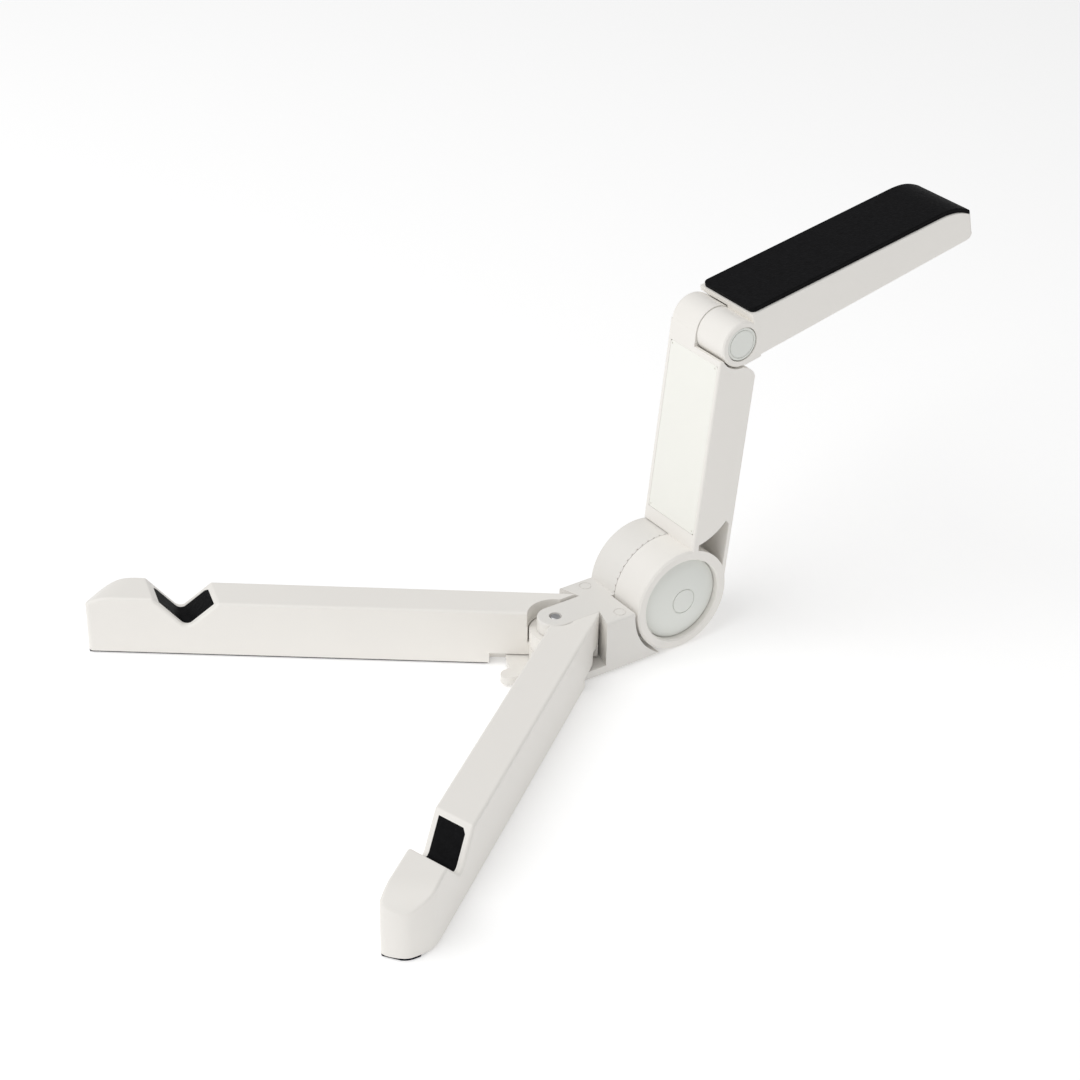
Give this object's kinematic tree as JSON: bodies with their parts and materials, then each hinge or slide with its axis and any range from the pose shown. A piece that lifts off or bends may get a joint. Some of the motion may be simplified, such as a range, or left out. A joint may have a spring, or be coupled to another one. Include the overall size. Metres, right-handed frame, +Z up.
{
  "type": "folding tablet stand",
  "caption": "Folding tablet stand: splayed legs with lined notches, a hinged column and a padded support arm on a clevis hub.",
  "frame": {"origin": "on the table, under the leg pivot pin, at the middle of the hub's foot pad", "axes": "-Y is the front, where the legs point; +Z is up; +X is the side of the column's ring"},
  "size_m": [0.1752, 0.2493, 0.118],
  "materials": {
    "white_shell": "fine satin texture",
    "front_plate": "semi-gloss",
    "cap_plastic": "satin",
    "soft_pad": "matt, fine pebble",
    "foot_rubber": "matt",
    "steel": "turned",
    "wear_plastic": "smooth, unfilled"
  },
  "bodies": {
    "hub": {"hub_housing": "white_shell", "hub_base_plate": "white_shell", "hub_base_screws": "steel", "hub_foot_pad": "foot_rubber", "leg_pivot_pin": "steel", "pivot_washers": "steel", "main_axle_screw": "steel", "main_axle_nut": "steel", "main_spring_washers": "steel", "hub_detent_ring": "wear_plastic", "hub_hinge_cap": "cap_plastic"},
    "right_leg": {"right_leg_shell": "white_shell", "right_leg_cover": "white_shell", "right_leg_screws": "steel", "right_notch_liner": "soft_pad", "right_foot_strip": "foot_rubber"},
    "left_leg": {"left_leg_shell": "white_shell", "left_leg_cover": "white_shell", "left_leg_screws": "steel", "left_notch_liner": "soft_pad", "left_foot_strip": "foot_rubber"},
    "column": {"column_housing": "white_shell", "column_front_plate": "front_plate", "column_detent_ring": "wear_plastic", "column_hinge_cap": "cap_plastic", "top_axle_screw": "steel", "top_axle_nut": "steel", "top_spring_washers": "steel", "top_friction_washer": "wear_plastic", "column_top_cap": "cap_plastic"},
    "arm": {"arm_housing": "white_shell", "arm_top_plate": "white_shell", "arm_pad": "soft_pad", "arm_hinge_cap": "cap_plastic"}
  },
  "joints": [
    {"name": "right_leg_swing", "type": "hinge", "parent": "hub", "child": "right_leg", "pos_m": [0, 0, 0.0106], "axis": [0, 0, -1], "range_deg": [0, 36.5]},
    {"name": "left_leg_swing", "type": "hinge", "parent": "hub", "child": "left_leg", "pos_m": [0, 0, 0.0059], "axis": [0, 0, 1], "range_deg": [0, 36.5]},
    {"name": "column_tilt", "type": "hinge", "parent": "hub", "child": "column", "pos_m": [0, 0.0372, 0.01625], "axis": [-1, 0, 0], "range_deg": [-93, 25]},
    {"name": "arm_tilt", "type": "hinge", "parent": "column", "child": "arm", "pos_m": [0, 0.05394, 0.09518], "axis": [1, 0, 0], "range_deg": [-12, 72]}
  ]
}
